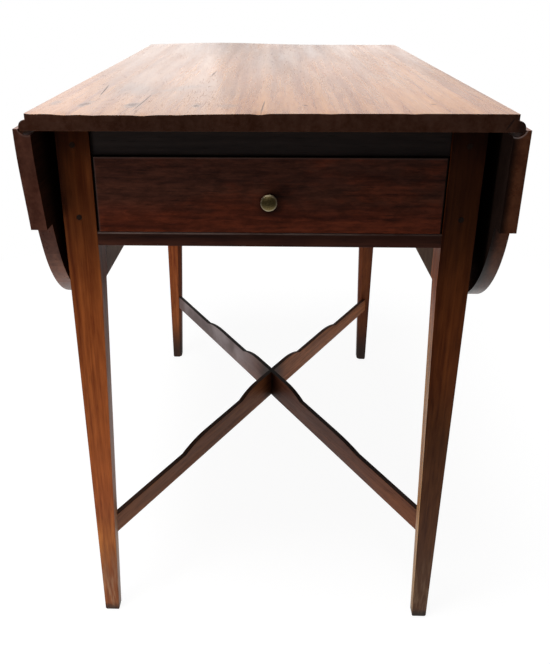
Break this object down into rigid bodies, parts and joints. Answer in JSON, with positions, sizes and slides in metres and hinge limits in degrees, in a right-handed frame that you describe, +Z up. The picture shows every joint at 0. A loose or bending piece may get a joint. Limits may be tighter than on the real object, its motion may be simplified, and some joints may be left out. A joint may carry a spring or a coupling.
{
  "type": "pembroke table",
  "caption": "Small mahogany table with hinged drop leaves on rule joints, a drawer with a brass knob, square tapered legs, crossed stretchers and swinging leaf brackets.",
  "frame": {"origin": "on the floor, under the middle of the fixed top", "axes": "+X to the right seen from the drawer end, across the table with its leaves hanging; +Y along the table, away from the drawer end; +Z up"},
  "size_m": [0.536, 0.905, 0.711],
  "materials": {
    "top_wood": "waxed mahogany, faded to orange on top, scratched and ink-stained",
    "leg_wood": "polished red-brown mahogany, dark at the feet",
    "stretcher_wood": "dull red-brown mahogany with dark upper edges",
    "front_wood": "dark red-brown mahogany, polished",
    "inner_wood": "bare secondary wood, darkened by age",
    "peg_wood": "end grain, dark with polish",
    "knob_brass": "tarnished brass, rubbed bright on the rim",
    "hinge_iron": "dull dark iron",
    "pin_iron": "dull dark iron",
    "bolt_iron": "dull iron",
    "screw_steel": "dulled steel"
  },
  "bodies": {
    "frame": {"drawer_kicker_left": "inner_wood", "drawer_kicker_right": "inner_wood", "drawer_runner_left": "inner_wood", "drawer_runner_right": "inner_wood", "drawer_stops": "inner_wood", "end_rail": "front_wood", "fly_pin_left": "pin_iron", "fly_pin_right": "pin_iron", "fly_rail_left": "inner_wood", "fly_rail_right": "inner_wood", "fly_rail_screws": "screw_steel", "hinge_left_back_pin": "hinge_iron", "hinge_left_back_top_plate": "hinge_iron", "hinge_left_front_pin": "hinge_iron", "hinge_left_front_top_plate": "hinge_iron", "hinge_right_back_pin": "hinge_iron", "hinge_right_back_top_plate": "hinge_iron", "hinge_right_front_pin": "hinge_iron", "hinge_right_front_top_plate": "hinge_iron", "leg_back_left": "leg_wood", "leg_back_right": "leg_wood", "leg_front_left": "leg_wood", "leg_front_right": "leg_wood", "leg_pegs": "peg_wood", "lower_drawer_rail": "front_wood", "runner_screws": "screw_steel", "side_rail_left": "inner_wood", "side_rail_right": "inner_wood", "stretcher_a": "stretcher_wood", "stretcher_b": "stretcher_wood", "top_board": "top_wood", "top_hinge_screws": "screw_steel", "top_screws": "screw_steel", "upper_drawer_rail": "front_wood"},
    "leaf_left": {"hinge_left_back_leaf_plate": "hinge_iron", "hinge_left_front_leaf_plate": "hinge_iron", "leaf_left": "top_wood", "leaf_left_hinge_screws": "screw_steel"},
    "leaf_right": {"hinge_right_back_leaf_plate": "hinge_iron", "hinge_right_front_leaf_plate": "hinge_iron", "leaf_right": "top_wood", "leaf_right_hinge_screws": "screw_steel"},
    "drawer": {"drawer_back": "inner_wood", "drawer_bottom": "inner_wood", "drawer_front": "front_wood", "drawer_knob": "knob_brass", "drawer_side_left": "inner_wood", "drawer_side_right": "inner_wood", "knob_bolt": "bolt_iron", "knob_nut": "bolt_iron"},
    "bracket_left": {"fly_bracket_left": "inner_wood"},
    "bracket_right": {"fly_bracket_right": "inner_wood"}
  },
  "joints": [
    {"name": "leaf_left_hinge", "type": "hinge", "parent": "frame", "child": "leaf_left", "pos_m": [-0.254, 0, 0.697], "axis": [0, 1, 0], "range_deg": [0, 90]},
    {"name": "leaf_right_hinge", "type": "hinge", "parent": "frame", "child": "leaf_right", "pos_m": [0.254, 0, 0.697], "axis": [0, -1, 0], "range_deg": [0, 90]},
    {"name": "drawer_slide", "type": "slide", "parent": "frame", "child": "drawer", "axis": [0, -1, 0], "range_m": [0, 0.4]},
    {"name": "bracket_left_pivot", "type": "hinge", "parent": "frame", "child": "bracket_left", "pos_m": [-0.22555, -0.11245, 0.6455], "axis": [0, 0, 1], "range_deg": [0, 2.5]},
    {"name": "bracket_right_pivot", "type": "hinge", "parent": "frame", "child": "bracket_right", "pos_m": [0.22555, -0.11245, 0.6455], "axis": [0, 0, -1], "range_deg": [0, 2.5]}
  ]
}
